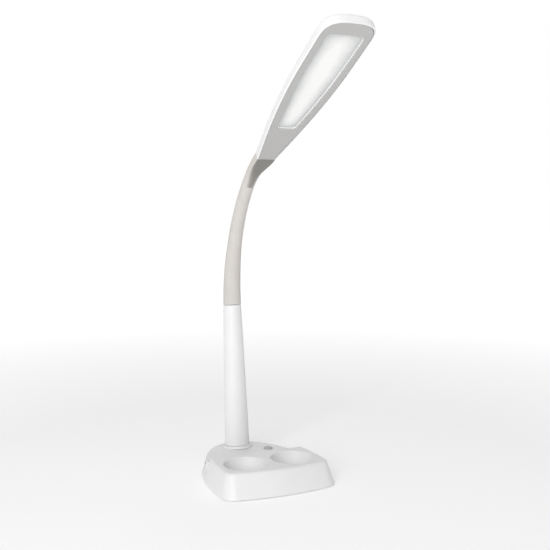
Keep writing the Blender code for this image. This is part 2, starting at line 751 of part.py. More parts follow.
def collar_rings(inset):
    """Rings from the round neck to the head's flat section, along a smooth curve."""
    start = neck_point(NECK_LENGTH)
    start_angle = link_lean(*link_ends()[-2:])
    frame = head_frame()
    end = frame @ Vector((0.0, -HEAD_START + GAP, HEAD_THICK / 2))
    end_angle = math.pi / 2 - HEAD_RISE
    reach = (end - start).length
    leave = Vector((0.0, -math.sin(start_angle), math.cos(start_angle))) * reach
    arrive = Vector((0.0, -math.sin(end_angle), math.cos(end_angle))) * reach
    rings = []
    steps = 7
    for step in range(steps + 1):
        share = step / steps
        ease = share * share * (3 - 2 * share)
        spot = (start * (2 * share ** 3 - 3 * share ** 2 + 1) + leave * (share ** 3 - 2 * share ** 2 + share)
                + end * (3 * share ** 2 - 2 * share ** 3) + arrive * (share ** 3 - share ** 2))
        angle = start_angle + (end_angle - start_angle) * share
        across = step_along(NECK_RADII, NECK_LENGTH) * (1 - ease) + HEAD_ROOT_HALF * ease - inset
        thick = step_along(NECK_RADII, NECK_LENGTH) * (1 - ease) + HEAD_THICK / 2 * ease - inset
        crown = 2.0 + (HEAD_CROWN - 2.0) * ease
        foot = 2.0 + (HEAD_FLAT - 2.0) * ease ** 3
        local = frame_at(spot, angle)
        slim = COLLAR_WAIST * math.sin(math.pi * share) ** 2
        ring = section(across, -thick, thick, crown, foot)
        rings.append([local @ Vector((x, z * (1 - slim) if z < 0 else z, 0.0)) for x, z in ring])
    return rings


def make_collar(look):
    collar = loft("head_collar", collar_rings(0.0), look, smooth=True)
    rings = collar_rings(1.8)
    first = [point + (rings[0][index] - rings[1][index]) for index, point in enumerate(rings[0])]
    last = [point + (rings[-1][index] - rings[-2][index]) for index, point in enumerate(rings[-1])]
    hollow = loft("collar_hollow_cutter", [first] + rings + [last])
    return cut(collar, hollow)


# ---------------------------------------------------------------- build

def build():
    global parts, cutters
    clear_scene()
    parts = new_collection(OBJECT_NAME)
    cutters = new_collection("cutters")

    white = material("white_plastic", WHITE, 0.35)
    taupe = material("taupe_silicone", TAUPE, 0.6)
    collar_taupe = material("taupe_plastic", TAUPE, 0.45)
    grey = material("grey_plastic", GREY, 0.5)
    dark = material("black_plastic", BLACK, 0.5)
    rubber = material("pad_rubber", BLACK, 0.9)
    steel = material("steel", STEEL, 0.3, 1.0)
    green = material("circuit_board", (0.05, 0.25, 0.10), 0.5)
    frosted = material("frosted_diffuser", (0.94, 0.95, 0.94), 0.5)
    copper = material("copper_winding", (0.60, 0.30, 0.15), 0.4, 1.0)
    brass = material("brass_contact", (0.75, 0.60, 0.25), 0.3, 1.0)

    stem = stem_frame()
    make_base_cover(white, stem)
    make_base_plate(dark)
    make_base_pad(rubber)
    make_base_screws(steel)
    make_ballast(steel)
    make_control_board(green)
    make_board_parts(copper, dark)
    make_usb_port(steel, dark)
    make_dc_jack(dark, brass)
    make_power_button(grey)
    make_button_switch(dark)
    make_stem(stem, white, steel)
    make_neck(steel, taupe)
    make_collar(collar_taupe)

    head = head_frame()
    make_head_cover(white, head)
    make_bezel(grey, head)
    make_light_engine(frosted, white, green, head)
    make_bracket(steel, steel, head)
    bpy.context.view_layer.update()


build()
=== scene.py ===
import json
import math

import bmesh
import bpy
from mathutils import Matrix, Vector
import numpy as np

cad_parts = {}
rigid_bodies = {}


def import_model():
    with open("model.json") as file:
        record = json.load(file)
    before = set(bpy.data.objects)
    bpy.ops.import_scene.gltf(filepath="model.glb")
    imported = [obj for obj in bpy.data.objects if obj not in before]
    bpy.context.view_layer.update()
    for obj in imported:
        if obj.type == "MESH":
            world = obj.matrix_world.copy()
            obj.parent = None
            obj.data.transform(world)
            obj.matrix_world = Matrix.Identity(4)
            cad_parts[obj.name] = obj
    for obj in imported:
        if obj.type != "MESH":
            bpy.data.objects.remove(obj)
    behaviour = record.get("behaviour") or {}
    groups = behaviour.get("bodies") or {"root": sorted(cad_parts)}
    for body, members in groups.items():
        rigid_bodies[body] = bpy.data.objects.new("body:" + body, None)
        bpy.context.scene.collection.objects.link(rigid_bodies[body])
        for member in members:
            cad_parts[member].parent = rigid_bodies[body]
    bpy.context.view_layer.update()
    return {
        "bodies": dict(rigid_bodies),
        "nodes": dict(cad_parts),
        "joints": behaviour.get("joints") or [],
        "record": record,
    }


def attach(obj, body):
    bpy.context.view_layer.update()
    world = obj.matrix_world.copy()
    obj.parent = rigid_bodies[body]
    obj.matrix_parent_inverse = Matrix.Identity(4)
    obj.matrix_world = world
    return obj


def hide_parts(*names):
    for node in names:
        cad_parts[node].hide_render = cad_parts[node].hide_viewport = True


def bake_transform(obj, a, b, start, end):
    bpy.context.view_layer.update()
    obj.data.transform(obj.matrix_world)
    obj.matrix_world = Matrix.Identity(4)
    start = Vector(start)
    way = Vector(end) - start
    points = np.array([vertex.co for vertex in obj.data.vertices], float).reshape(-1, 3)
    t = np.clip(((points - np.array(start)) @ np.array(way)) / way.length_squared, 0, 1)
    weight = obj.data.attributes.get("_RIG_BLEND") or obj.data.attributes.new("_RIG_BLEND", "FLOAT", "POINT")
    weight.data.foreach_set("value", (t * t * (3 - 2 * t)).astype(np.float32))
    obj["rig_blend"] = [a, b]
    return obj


# Lengths are in millimetres and are turned into metres when a mesh is made.
# X is left to right, -Y is the front, +Z is up. The origin is on the table, under the base's middle.
MM = 0.001
GAP = 0.3
AROUND = 96                    # facets round a turned piece

# Base
BASE_WIDTH = 181.0
BASE_DEPTH = 222.0
BASE_HEIGHT = 35.0
DECK_HEIGHT = 24.0
SLOT_FLOOR = 12.0
WALL = 2.4
SIDE_LEAN = 10.0
FRONT_LEAN = 15.0
FRONT_BOW = 11.0
CORNER_RADIUS = 24.0
WIDEST_Y = -55.0
SKIRT = 0.8
PLATE_TOP = 3.9
TOP_FILLET = 3.0
EDGE_FILLET = 1.3
FRONT_Y = -BASE_DEPTH / 2
REAR_Y = BASE_DEPTH / 2
HALF_WIDTH = BASE_WIDTH / 2

SLOT_FRONT_Y = -4.0
SLOT_WIDTH = 14.0
TABLET_LEAN = math.radians(30)

CUP_X = 38.0
CUP_Y = -51.0
CUP_HALF_LENGTH = 33.0
CUP_HALF_WIDTH = 34.0
CUP_DEPTH = 22.0
CUP_TAPER = 0.86
CUP_WALL = 2.0
CUP_LIP = 1.2
CUP_FLOOR_FILLET = 4.0

POST_RADIUS = 4.0              # posts under the cover that the base screws go into
SCREW_BORE = 1.4
SCREW_DEPTH = 14.0
BUTTON_HOLE_GAP = 0.5
PORT_EDGE = 1.2                # rounding of the recesses round the two inlets
SCREW_SPOTS = ((0.0, -84.0), (70.0, -15.0), (-70.0, -15.0), (44.0, 63.0), (-44.0, 63.0))
BUTTON_SPOT = (40.0, 44.0)
BUTTON_RADIUS = 7.0
BUTTON_PROUD = 1.6

USB_Y = 33.0
USB_FACE_X = -69.5
USB_LOW_Z = 10.9
USB_LENGTH, USB_WIDTH, USB_HEIGHT = 14.0, 13.2, 6.2

JACK_WIDTH, JACK_LENGTH, JACK_HEIGHT = 9.0, 12.0, 9.5
JACK_FACE_Y = 103.6
JACK_Z = 11.5

# Stem
STEM_LEAN = math.radians(-5)
STEM_TOP = Vector((0.0, 98.0, 253.0))
STEM_LENGTH = 227.0
STEM_FOOT_RADIUS = 20.0
STEM_TOP_RADIUS = 14.7
STEM_WALL = 2.2
TUBE_RADIUS = 8.0
BOSS_RADIUS = 24.0
BOSS_HEIGHT = 4.2

# Gooseneck
NECK_BEND = math.radians(0.232)
NECK_LENGTH = 213.0
HINGES = 7
FIRST_HINGE = 15.0
HINGE_PITCH = 30.0
NECK_RADII = ((0.0, 14.65), (60.0, 13.2), (108.0, 11.4), (160.0, 10.3), (213.0, 9.9))
SLEEVE_WALL = 2.2
TOP_DOWN_SLEEVE = 5            # this piece flies off with every joint at its maximum unless its bodies are given top first
NECK_BODIES = ["base"] + [f"neck_link_{index}" for index in range(1, HINGES)] + ["head"]

# Head, in its own frame: -Y runs out along the head, +Z is its upper side
HEAD_ORIGIN = Vector((0.0, -9.0, 462.5))
HEAD_RISE = math.radians(29)
HEAD_START = 36.0
HEAD_END = 328.6               # just short of the CAD's, so that the rounder end stays inside its box
HEAD_THICK = 16.0
HEAD_ROOT_HALF = 15.0
HEAD_MAX_HALF = 37.0
HEAD_WIDEST = 250.0
HEAD_WALL = 1.8
HEAD_TIP = 34.0
HEAD_TIP_POWER = 3.2
HEAD_NOSE_POWER = 4.5
HEAD_CROWN = 3.0
HEAD_FLAT = 12.0
BEZEL_LOW = 0.4
BEZEL_THICK = 2.6
BEZEL_MARGIN = HEAD_WALL + GAP + 0.4
LENS_START = 112.0
LENS_END = 306.0
LENS_MARGIN = 13.0
LENS_MARGIN_FAR = 10.5
LENS_CORNER_NEAR = 4.0
LENS_CORNER_FAR = 9.0
LENS_THICK = 1.8
LIP_WALL = 0.9
COLLAR_WAIST = 0.16
LENS_LOW = BEZEL_LOW + BEZEL_THICK + GAP

# Camera, in metres
CAMERA_TURN = math.radians(24.6)
CAMERA_FALL = math.radians(4.1)
CAMERA_DISTANCE = 1.252
CAMERA_CENTRE_X = 0.032
CAMERA_HEIGHT = 0.397
LENS_PIXELS = 817
FRAME_PIXELS = 550
SENSOR = 36.0

# Lights, in metres and watts
LIGHT_SIZE = 1.6
KEY_POWER = 44.0
TOP_POWER = 6.0


# ---------------------------------------------------------------- meshes

def move(point_mm):
    return Vector(point_mm) * MM


def frame_at(point, turn=0.0):
    """Frame on a point in millimetres, tipped about X."""
    return Matrix.Translation(Vector(point)) @ Matrix.Rotation(turn, 4, "X")


def object_from(name, bm, look=None, frame=None, sharp=32.0):
    """Turn a bmesh in millimetres into a smooth-shaded object with sharp edges kept."""
    bmesh.ops.remove_doubles(bm, verts=bm.verts, dist=0.0005)
    bmesh.ops.scale(bm, vec=(MM, MM, MM), verts=bm.verts)
    bmesh.ops.recalc_face_normals(bm, faces=bm.faces)
    mark_sharp(bm, sharp)
    mesh = bpy.data.meshes.new(name)
    bm.to_mesh(mesh)
    bm.free()
    obj = bpy.data.objects.new(name, mesh)
    bpy.context.scene.collection.objects.link(obj)
    if look is not None:
        mesh.materials.append(look)
    if frame is not None:
        mesh.transform(in_metres(frame))
    return obj


def in_metres(frame):
    scaled = frame.copy()
    scaled.translation = frame.translation * MM
    return scaled


def mark_sharp(bm, degrees):
    limit = math.radians(degrees)
    for face in bm.faces:
        face.smooth = True
    for edge in bm.edges:
        edge.smooth = len(edge.link_faces) == 2 and edge.calc_face_angle(0.0) < limit


def skin(rings, loop=False, open_rings=False):
    """Skin rings that have the same number of points; the ends are closed unless it loops."""
    bm = bmesh.new()
    rows = [[bm.verts.new(point) for point in ring] for ring in rings]
    count = len(rows[0])
    steps = count - 1 if open_rings else count
    pairs = list(zip(rows, rows[1:]))
    if loop:
        pairs.append((rows[-1], rows[0]))
    for low, high in pairs:
        for index in range(steps):
            after = (index + 1) % count
            bm.faces.new((low[index], low[after], high[after], high[index]))
    if not loop:
        bm.faces.new(rows[0])
        bm.faces.new(rows[-1])
    return bm


def turned(profile, segments=AROUND, closed=True):
    """Turn a profile of (radius, height) points about Z."""
    rings = []
    for step in range(segments):
        angle = math.tau * step / segments
        rings.append([(r * math.cos(angle), r * math.sin(angle), h) for r, h in profile])
    return skin(rings, loop=True, open_rings=not closed)


def arc(centre, radius, start, stop, steps=6):
    """Points of a circle in degrees, used for rounded corners of a profile."""
    points = []
    for step in range(steps + 1):
        angle = math.radians(start + (stop - start) * step / steps)
        points.append((centre[0] + radius * math.cos(angle), centre[1] + radius * math.sin(angle)))
    return points


def box_mesh(low, high):
    bm = bmesh.new()
    bmesh.ops.create_cube(bm, size=1.0)
    bmesh.ops.scale(bm, vec=Vector(high) - Vector(low), verts=bm.verts)
    bmesh.ops.translate(bm, vec=(Vector(low) + Vector(high)) / 2, verts=bm.verts)
    return bm


def rounded_box(low, high, radius, segments=3):
    bm = box_mesh(low, high)
    bmesh.ops.bevel(bm, geom=bm.edges[:], offset=radius, segments=segments, profile=0.5, affect="EDGES")
    return bm


def combine(obj, bm, operation="DIFFERENCE", frame=None):
    """Cut or join a bmesh into an object at once, leaving nothing behind."""
    other = object_from("cutter", bm, frame=frame)
    step = obj.modifiers.new("Boolean", "BOOLEAN")
    step.operation = operation
    step.object = other
    step.solver = "EXACT"
    bake(obj)
    bpy.data.objects.remove(other, do_unlink=True)
    return obj


def bake(obj):
    """Replace an object's mesh by what its modifiers make of it."""
    bpy.context.view_layer.update()
    made = bpy.data.meshes.new_from_object(obj.evaluated_get(bpy.context.evaluated_depsgraph_get()))
    obj.modifiers.clear()
    obj.data = made
    return obj


def soften(obj, chooser):
    """Round an object's edges: chooser gives each edge its radius in millimetres, or 0."""
    bm = bmesh.new()
    bm.from_mesh(obj.data)
    bmesh.ops.dissolve_limit(
        bm, angle_limit=math.radians(0.05), verts=bm.verts, edges=bm.edges, delimit={"NORMAL"})
    layers = bm.edges.layers.float
    weight = layers.get("bevel_weight_edge") or layers.new("bevel_weight_edge")
    widest = TOP_FILLET
    for edge in bm.edges:
        if len(edge.link_faces) == 2 and edge.calc_face_angle(0.0) > math.radians(30):
            edge[weight] = chooser(edge) / widest
    bm.to_mesh(obj.data)
    bm.free()
    step = obj.modifiers.new("Bevel", "BEVEL")
    step.limit_method = "WEIGHT"
    step.width = widest * MM
    step.segments = 5
    step.use_clamp_overlap = False
    return bake(obj)


def settle(obj, look, sharp=32.0):
    """Give a finished mesh its shading and its one material."""
    bm = bmesh.new()
    bm.from_mesh(obj.data)
    mark_sharp(bm, sharp)
    bm.to_mesh(obj.data)
    bm.free()
    obj.data.materials.clear()
    obj.data.materials.append(look)
    for face in obj.data.polygons:
        face.material_index = 0
    return obj


def carry(obj, body, slot, *nodes):
    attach(obj, body)
    if nodes:
        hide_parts(*nodes)
    return obj


# ---------------------------------------------------------------- base

def base_ring(inset, z):
    """The footprint at a height: bowed front, round corners, straight sides, elliptical rear."""
    side_inset = inset + SIDE_LEAN * z / BASE_HEIGHT
    front = FRONT_Y + inset + FRONT_LEAN * z / BASE_HEIGHT
    half = HALF_WIDTH - side_inset
    rear = REAR_Y - side_inset
    radius = max(CORNER_RADIUS - side_inset, 8.0)
    corner_turn = math.pi / 2 - math.atan(2 * FRONT_BOW / half)
    corner_x = half - radius * (1 - math.cos(corner_turn))
    corner_y = front + FRONT_BOW * (corner_x / half) ** 2 + radius * math.sin(corner_turn)
    right = []
    front_steps, corner_steps, rear_steps = 20, 16, 56
    for step in range(front_steps):
        x = corner_x * step / front_steps
        right.append((x, front + FRONT_BOW * (x / half) ** 2, z))
    for step in range(corner_steps + 1):
        angle = -corner_turn * (1 - step / corner_steps)
        right.append((half - radius + radius * math.cos(angle), corner_y + radius * math.sin(angle), z))
    for step in range(rear_steps + 1):
        angle = math.pi / 2 * step / rear_steps
        x = half * math.cos(angle) if step < rear_steps else 0.0
        right.append((x, WIDEST_Y + (rear - WIDEST_Y) * math.sin(angle), z))
    return right + [(-x, y, height) for x, y, height in reversed(right[1:-1])]


def rear_space(grow):
    """Everything above the slot and the rear deck, grown by a wall when it shapes the inside."""
    slope = math.tan(TABLET_LEAN)
    deck = DECK_HEIGHT - grow
    floor = SLOT_FLOOR - grow
    front = SLOT_FRONT_Y - grow
    rear_foot = SLOT_FRONT_Y + SLOT_WIDTH + grow / 2
    outline = (
        (front, 60.0), (front, floor), (rear_foot, floor),
        (rear_foot + (deck - floor) * slope, deck), (REAR_Y + 20.0, deck), (REAR_Y + 20.0, 60.0),
    )
    reach = HALF_WIDTH + 20.0
    return skin([[(x, y, z) for y, z in outline] for x in (-reach, reach)])


def cup_space(side, grow, lip):
    """A tapered oval pocket with a rounded floor edge and a rounded lip."""
    lean = (1.0 - CUP_TAPER) * CUP_HALF_LENGTH / CUP_DEPTH
    floor = -CUP_DEPTH - grow
    round_foot = CUP_FLOOR_FILLET
    profile = [(0.0, floor)]
    foot_reach = lean * floor
    profile += [(foot_reach - round_foot + x, floor + round_foot + z)
                for x, z in arc((0.0, 0.0), round_foot, -90, 0)]
    if lip:
        profile += [(CUP_LIP + x, -CUP_LIP + z) for x, z in arc((0.0, 0.0), CUP_LIP, 180, 90)]
        profile += [(CUP_LIP, 6.0)]
    else:
        profile += [(0.0, 0.0), (0.0, 6.0)]
    rings = []
    for offset, z in profile:
        ring = []
        for step in range(AROUND):
            angle = math.tau * step / AROUND
            across = (CUP_HALF_LENGTH + grow + offset) * math.cos(angle)
            along = (CUP_HALF_WIDTH + grow + offset) * math.sin(angle)
            ring.append((side * CUP_X + across, CUP_Y + along, BASE_HEIGHT + z))
        rings.append(ring)
    return skin(rings[1:])


def base_inside():
    """The hollow under the cover: the inner shape less the cups, slot, bosses and port blocks."""
    inside = object_from("inside", skin([base_ring(WALL, z) for z in (-1.0, BASE_HEIGHT - WALL)]))
    combine(inside, rear_space(WALL))
    for side in (-1, 1):
        combine(inside, cup_space(side, CUP_WALL, lip=False))
    for x, y in SCREW_SPOTS:
        foot, top = PLATE_TOP + GAP, 40.0
        post = turned([(0.0, foot), (POST_RADIUS, foot), (POST_RADIUS, top), (0.0, top)], 32, False)
        combine(inside, post, frame=frame_at((x, y, 0.0)))
    combine(inside, box_mesh((-85.0, USB_Y - 11.0, PLATE_TOP + GAP), (-66.0, USB_Y + 11.0, 30.0)))
    combine(inside, box_mesh((-9.0, JACK_FACE_Y - 4.0, PLATE_TOP + GAP), (9.0, 120.0, 30.0)))
    return inside


def make_base(look):
    base = object_from("base_body", skin([base_ring(0.0, SKIRT), base_ring(0.0, BASE_HEIGHT)]))
    combine(base, rear_space(0.0))

    def fillet(edge):
        heights = [vert.co.z / MM for vert in edge.verts]
        if max(heights) < SKIRT + 1.0:
            return 0.4
        rearmost = max(vert.co.y for vert in edge.verts) / MM
        if min(heights) > BASE_HEIGHT - 0.1 and rearmost < SLOT_FRONT_Y - 0.1:
            return TOP_FILLET
        return EDGE_FILLET

    soften(base, fillet)
    boss_profile = [(0.0, -BOSS_HEIGHT), (BOSS_RADIUS, -BOSS_HEIGHT)]
    boss_profile += arc((BOSS_RADIUS - 0.8, -GAP - 0.8), 0.8, 0, 90)
    boss_profile += [(0.0, -GAP)]
    combine(base, turned(boss_profile, closed=False), "UNION", stem_frame())
    inside = base_inside()
    hollow = bmesh.new()
    hollow.from_mesh(inside.data)
    bmesh.ops.scale(hollow, vec=(1 / MM, 1 / MM, 1 / MM), verts=hollow.verts)
    combine(base, hollow)
    bpy.data.objects.remove(inside, do_unlink=True)
    for side in (-1, 1):
        combine(base, cup_space(side, 0.0, lip=True))
    tube_bore = [(0.0, -30.0), (TUBE_RADIUS + 0.4, -30.0), (TUBE_RADIUS + 0.4, 10.0), (0.0, 10.0)]
    combine(base, turned(tube_bore, 48, False), frame=stem_frame())
    for x, y in SCREW_SPOTS:
        bore = [(0.0, 0.0), (SCREW_BORE, 0.0), (SCREW_BORE, SCREW_DEPTH), (0.0, SCREW_DEPTH)]
        combine(base, turned(bore, 24, False), frame=frame_at((x, y, 0.0)))
    hole = BUTTON_RADIUS + BUTTON_HOLE_GAP
    mouth = [(0.0, -14.0), (hole, -14.0)]
    mouth += [(hole + 0.6 + x, -0.6 + z) for x, z in arc((0.0, 0.0), 0.6, 180, 90, 4)]
    mouth += [(hole + 0.6, 10.0), (0.0, 10.0)]
    combine(base, turned(mouth, 64, False), frame=frame_at((*BUTTON_SPOT, DECK_HEIGHT)))
    usb_z = USB_LOW_Z + USB_HEIGHT / 2
    combine(base, rounded_box((-100.0, USB_Y - 9.0, usb_z - 6.0),
                              (USB_FACE_X, USB_Y + 9.0, usb_z + 6.5), PORT_EDGE))
    combine(base, box_mesh((-100.0, USB_Y - USB_WIDTH / 2 - GAP, USB_LOW_Z - GAP),
                           (-50.0, USB_Y + USB_WIDTH / 2 + GAP, USB_LOW_Z + USB_HEIGHT + GAP)))
    combine(base, rounded_box((-6.5, JACK_FACE_Y, JACK_Z - 6.5), (6.5, 130.0, JACK_Z + 6.5), PORT_EDGE))
    combine(base, box_mesh((-JACK_WIDTH / 2 - GAP, 80.0, JACK_Z - JACK_HEIGHT / 2 - GAP),
                           (JACK_WIDTH / 2 + GAP, 130.0, JACK_Z + JACK_HEIGHT / 2 + GAP)))
    settle(base, look)
    return carry(base, "base", "white_plastic", "base_cover")


def make_button(look):
    """A dished cap with a rounded rim, on the CAD button's flange and foot."""
    top = DECK_HEIGHT + BUTTON_PROUD
    flange_top = DECK_HEIGHT - WALL - 0.4
    profile = [(0.0, top - 0.5), (2.5, top - 0.42), (4.4, top - 0.1)]
    profile += arc((BUTTON_RADIUS - 0.9, top - 0.9), 0.9, 100, 0, 8)
    profile += [(BUTTON_RADIUS, flange_top), (9.0, flange_top), (9.0, flange_top - 1.4),
                (3.0, flange_top - 1.4), (3.0, 15.7), (0.0, 15.7)]
    cap = object_from("button_cap", turned(profile, 72, False), look, frame_at((*BUTTON_SPOT, 0.0)))
    return carry(cap, "power_button", "grey_plastic", "power_button")


# ---------------------------------------------------------------- stem

def stem_frame():
    along = Vector((0.0, -math.sin(STEM_LEAN), math.cos(STEM_LEAN)))
    return frame_at(STEM_TOP - along * STEM_LENGTH, STEM_LEAN)


def make_stem(look):
    top = STEM_LENGTH - GAP
    profile = arc((STEM_TOP_RADIUS - 0.5, top - 0.5), 0.5, 90, 0, 4)
    profile += arc((STEM_FOOT_RADIUS - 0.7, 0.7), 0.7, 0, -90, 4)
    profile += [
        (STEM_FOOT_RADIUS - STEM_WALL, 0.0), (STEM_TOP_RADIUS - STEM_WALL, top - 3.0),
        (TUBE_RADIUS + GAP, top - 3.0), (TUBE_RADIUS + GAP, top),
    ]
    stem = object_from("stem_body", turned(profile), look, stem_frame())
    return carry(stem, "base", "white_plastic", "stem_cover")


# ---------------------------------------------------------------- gooseneck

def neck_angle(where):
    return STEM_LEAN + NECK_BEND * where


def neck_point(where):
    """Point of the neck's centreline, a given length along its arc from the stem's top."""
    radius = 1.0 / NECK_BEND
    start, here = STEM_LEAN, neck_angle(where)
    forward = radius * (math.cos(start) - math.cos(here))
    upward = radius * (math.sin(here) - math.sin(start))
    return STEM_TOP + Vector((0.0, -forward, upward))


def hermite(share, start, leave, end, arrive):
    """Smooth curve from start to end that leaves and arrives along the given slopes."""
    return (start * (2 * share ** 3 - 3 * share ** 2 + 1)
            + leave * (share ** 3 - 2 * share ** 2 + share)
            + end * (3 * share ** 2 - 2 * share ** 3)
            + arrive * (share ** 3 - share ** 2))


def neck_radius(where):
    """Outer radius of the sleeve, read smoothly from its few stated sizes."""
    slopes = []
    for (low, value_low), (high, value_high) in zip(NECK_RADII, NECK_RADII[1:]):
        slopes.append((value_high - value_low) / (high - low))
    ends = [slopes[0]] + [(a + b) / 2 for a, b in zip(slopes, slopes[1:])] + [slopes[-1]]
    for index, ((low, value_low), (high, value_high)) in enumerate(zip(NECK_RADII, NECK_RADII[1:])):
        if where <= high:
            span = high - low
            share = (where - low) / span
            return hermite(share, value_low, ends[index] * span, value_high, ends[index + 1] * span)
    return NECK_RADII[-1][1]


def neck_ring(where, radius):
    frame = frame_at(neck_point(where), neck_angle(where))
    ring = []
    for step in range(AROUND):
        angle = math.tau * step / AROUND
        ring.append(frame @ Vector((radius * math.cos(angle), radius * math.sin(angle), 0.0)))
    return ring


def make_sleeve(look):
    """The soft sleeve, one piece for each hinge, so that every piece bends between two bodies."""
    for index in range(HINGES):
        low = max(GAP, FIRST_HINGE - HINGE_PITCH / 2 + HINGE_PITCH * index)
        high = FIRST_HINGE + HINGE_PITCH / 2 + HINGE_PITCH * index
        if index == HINGES - 1:
            high = NECK_LENGTH - 0.02
        steps = 16
        places = [low + (high - low) * step / steps for step in range(steps + 1)]
        rings = [neck_ring(place, neck_radius(place)) for place in places]
        if index == 0:
            lip = 0.5
            rings[0] = neck_ring(low, neck_radius(low) - lip)
            rings.insert(1, neck_ring(low + lip * 0.3, neck_radius(low) - lip * 0.3))
            rings.insert(2, neck_ring(low + lip, neck_radius(low)))
        rings += [neck_ring(place, neck_radius(place) - SLEEVE_WALL) for place in reversed(places)]
        piece = object_from(f"neck_skin_{index + 1}", skin(rings, loop=True), look)
        ends = [(NECK_BODIES[index], move(neck_point(low))),
                (NECK_BODIES[index + 1], move(neck_point(high)))]
        if index + 1 == TOP_DOWN_SLEEVE:
            ends.reverse()
        (first, start), (last, end) = ends
        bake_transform(piece, first, last, start=start, end=end)
        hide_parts(f"neck_sleeve_{index}")
        if index == HINGES - 1:
            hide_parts(f"neck_sleeve_{HINGES}")


# ---------------------------------------------------------------- head

def head_frame():
    return frame_at(HEAD_ORIGIN, -HEAD_RISE)


def tip_share(where):
    """How far into the rounded far end a place is, from 0 to 1."""
    return min(1.0, max(0.0, (where - HEAD_END + HEAD_TIP) / HEAD_TIP))


def head_half_width(where):
    """Half width of the head's outside at a distance out along it."""
    share = min(1.0, (where - HEAD_START) / (HEAD_WIDEST - HEAD_START))
    half = HEAD_ROOT_HALF + (HEAD_MAX_HALF - HEAD_ROOT_HALF) * math.sin(share * math.pi / 2)
    return half * (1.0 - tip_share(where) ** HEAD_TIP_POWER) ** (1.0 / HEAD_TIP_POWER)


def section(half_width, low, high, top_power, foot_power, upper=1.0, points=88):
    """Ring in the XZ plane: a superellipse whose upper and lower halves have their own power."""
    middle, half_height = (low + high) / 2, (high - low) / 2
    ring = []
    for index in range(points):
        angle = math.tau * (index + 0.5) / points
        across, upward = math.cos(angle), math.sin(angle)
        power = 2.0 / (top_power if upward > 0 else foot_power)
        x = math.copysign(abs(across) ** power, across) * half_width
        rise = math.copysign(abs(upward) ** power, upward) * half_height
        z = middle + (rise * upper if rise > 0 else rise)
        ring.append((x, z))
    return ring


def head_solid(inset, low, high, near, far):
    """A solid along the head: its outline inset all round, flat below and crowned above."""
    body_end = HEAD_END - HEAD_TIP
    places = [near + (body_end - near) * step / 36 for step in range(37)]
    places += [body_end + (far - body_end) * math.sin(math.pi / 2 * step / 22) for step in range(1, 23)]
    rings = []
    for where in places:
        half = head_half_width(where + inset * tip_share(where)) - inset
        upper = (1.0 - tip_share(where) ** HEAD_NOSE_POWER) ** (1.0 / HEAD_NOSE_POWER)
        ring = section(max(half, 1.0), low, high, HEAD_CROWN, HEAD_FLAT, max(upper, 0.1))
        rings.append([(x, -where, z) for x, z in ring])
    return skin(rings)


def lens_half_width(where, inset):
    share = (where - LENS_START) / (LENS_END - LENS_START)
    margin = LENS_MARGIN + (LENS_MARGIN_FAR - LENS_MARGIN) * share
    return head_half_width(min(where, HEAD_END - HEAD_TIP)) - margin - inset


def lens_outline(inset):
    """The light opening's outline in the head's plan: it follows the head's sides, with round corners."""
    near, far = LENS_START + inset, LENS_END - inset
    right = []
    for step in range(13):
        angle = math.pi / 2 * step / 12
        where = near + LENS_CORNER_NEAR * (1 - math.cos(angle))
        right.append((lens_half_width(where, inset) - LENS_CORNER_NEAR * (1 - math.sin(angle)), -where))
    straight = far - near - LENS_CORNER_NEAR - LENS_CORNER_FAR
    for step in range(1, 40):
        where = near + LENS_CORNER_NEAR + straight * step / 40
        right.append((lens_half_width(where, inset), -where))
    for step in range(13):
        angle = math.pi / 2 * step / 12
        where = far - LENS_CORNER_FAR * (1 - math.sin(angle))
        right.append((lens_half_width(where, inset) - LENS_CORNER_FAR * (1 - math.cos(angle)), -where))
    return right + [(-x, y) for x, y in reversed(right)]


def lens_prism(layers):
    """A plate of the opening's outline; layers are (inset, height) pairs from low to high."""
    return skin([[(x, y, z) for x, y in lens_outline(inset)] for inset, z in layers])


def make_head_shell(look):
    shell = object_from("head_shell", head_solid(0.0, 0.0, HEAD_THICK, HEAD_START, HEAD_END))
    hollow = head_solid(HEAD_WALL, -4.0, HEAD_THICK - HEAD_WALL,
                        HEAD_START + HEAD_WALL, HEAD_END - HEAD_WALL)
    combine(shell, hollow)
    half = head_half_width(HEAD_START) - BEZEL_MARGIN + GAP
    combine(shell, box_mesh((-half, -HEAD_START - HEAD_WALL - 1.0, -1.0),
                            (half, -HEAD_START + 1.0, BEZEL_LOW + BEZEL_THICK + GAP)))
    combine(shell, box_mesh((-7.0, -HEAD_START - 6.0, 5.0), (7.0, -HEAD_START + 6.0, 11.5)))
    settle(shell, look)
    shell.data.transform(in_metres(head_frame()))
    return carry(shell, "head", "white_plastic", "head_top_cover")


def make_bezel(look):
    far = HEAD_END - HEAD_WALL - 0.7
    panel = head_solid(BEZEL_MARGIN, BEZEL_LOW, BEZEL_LOW + BEZEL_THICK, HEAD_START, far)
    bezel = object_from("head_face_panel", panel)
    top = BEZEL_LOW + BEZEL_THICK
    edge = 0.5
    layers = [(-edge, -3.0), (-edge, BEZEL_LOW)]
    layers += [(-edge + edge * math.sin(a), BEZEL_LOW + edge * (1 - math.cos(a)))
               for a in (math.radians(30), math.radians(60), math.radians(90))]
    layers += [(0.0, top + 3.0)]
    combine(bezel, lens_prism(layers))
    settle(bezel, look)
    bezel.data.transform(in_metres(head_frame()))
    return carry(bezel, "head", "grey_plastic", "head_bezel")


def make_lens_lip(look):
    """White lining of the light opening, between the face panel and the diffuser: frosted acrylic, whiter
    than the diffuser as painted light on the opening's walls.
    """
    low, high = BEZEL_LOW + 1.6, LENS_LOW - 0.02
    rings = []
    for inset, z in ((0.03, low), (LIP_WALL, low + 0.15), (LIP_WALL, high), (0.03, high)):
        rings.append([(x, y, z) for x, y in lens_outline(inset)])
    lip = object_from("lens_lip", skin(rings, loop=True), look, head_frame())
    return carry(lip, "head", "frosted_diffuser")


